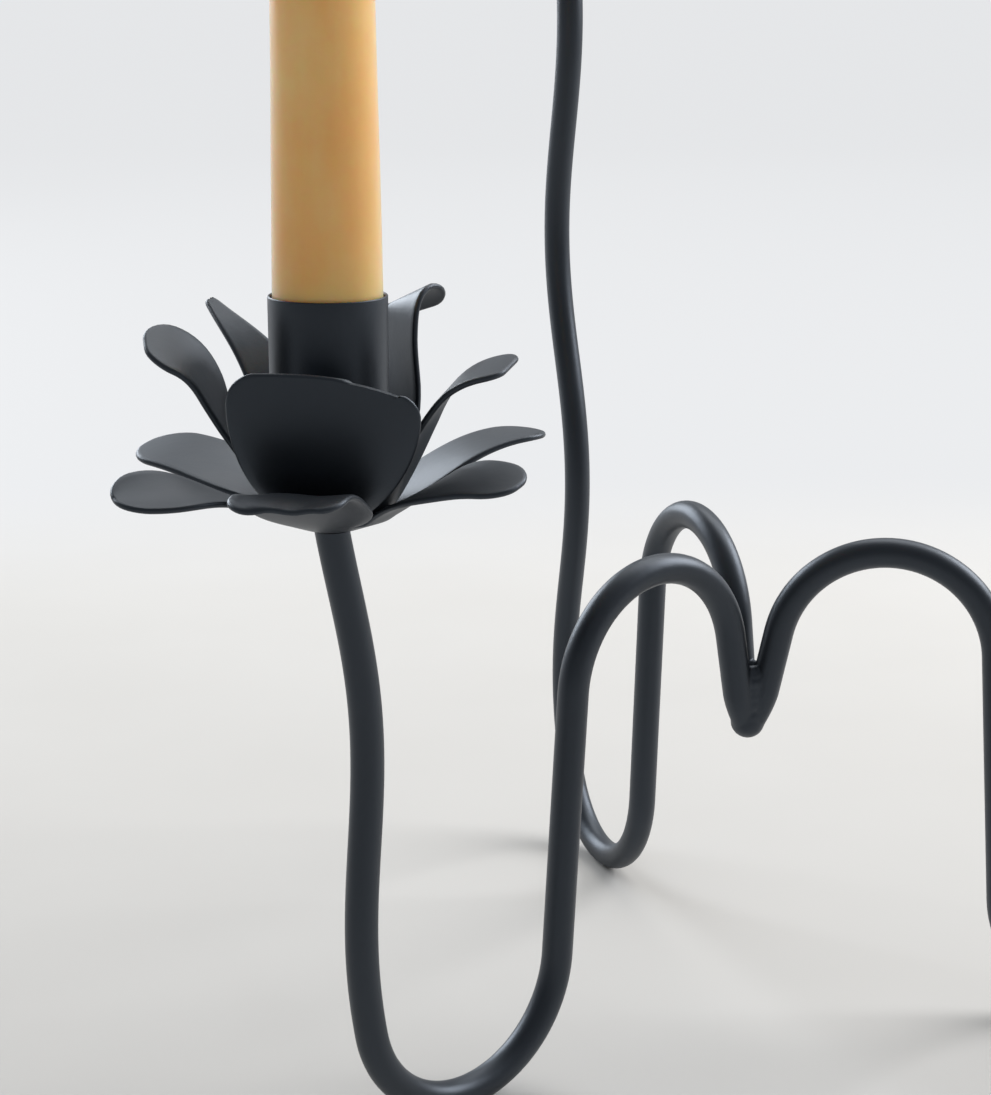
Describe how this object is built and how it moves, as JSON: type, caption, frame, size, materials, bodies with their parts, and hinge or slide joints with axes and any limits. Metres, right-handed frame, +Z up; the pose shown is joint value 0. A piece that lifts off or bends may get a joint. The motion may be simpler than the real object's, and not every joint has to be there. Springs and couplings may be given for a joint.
{
  "type": "candelabrum",
  "caption": "Free-standing candelabrum of bent round steel rods with sheet-metal flower cups on waving stems, each holding a tapered candle.",
  "frame": {"origin": "centre of the model's footprint, at the level of the table the feet stand on", "axes": "+Z up along the candles, +X along the middle arm, +Y completes a right-handed set"},
  "size_m": [0.2896, 0.2936, 0.6056],
  "materials": {
    "powder_coat": "black satin powder coat",
    "beeswax": "honey-coloured wax, matt sheen",
    "wick_cotton": "waxed cotton",
    "screw_steel": "zinc-plated steel"
  },
  "bodies": {
    "stand": {"arm_rod_low": "powder_coat", "arm_rod_middle": "powder_coat", "arm_rod_tall": "powder_coat", "candle_cup_low": "powder_coat", "candle_cup_middle": "powder_coat", "candle_cup_tall": "powder_coat", "fixing_screw_low": "screw_steel", "fixing_screw_middle": "screw_steel", "fixing_screw_tall": "screw_steel", "hub_weld": "powder_coat", "lower_petals_low": "powder_coat", "lower_petals_middle": "powder_coat", "lower_petals_tall": "powder_coat", "upper_petals_low": "powder_coat", "upper_petals_middle": "powder_coat", "upper_petals_tall": "powder_coat"},
    "low_candle": {"candle_low": "beeswax", "wick_low": "wick_cotton"},
    "middle_candle": {"candle_middle": "beeswax", "wick_middle": "wick_cotton"},
    "tall_candle": {"candle_tall": "beeswax", "wick_tall": "wick_cotton"}
  },
  "joints": [
    {"name": "lift_candle_low", "type": "slide", "parent": "stand", "child": "low_candle", "axis": [0, 0, 1], "range_m": [0, 0.06]},
    {"name": "lift_candle_middle", "type": "slide", "parent": "stand", "child": "middle_candle", "axis": [0, 0, 1], "range_m": [0, 0.06]},
    {"name": "lift_candle_tall", "type": "slide", "parent": "stand", "child": "tall_candle", "axis": [0, 0, 1], "range_m": [0, 0.06]}
  ]
}
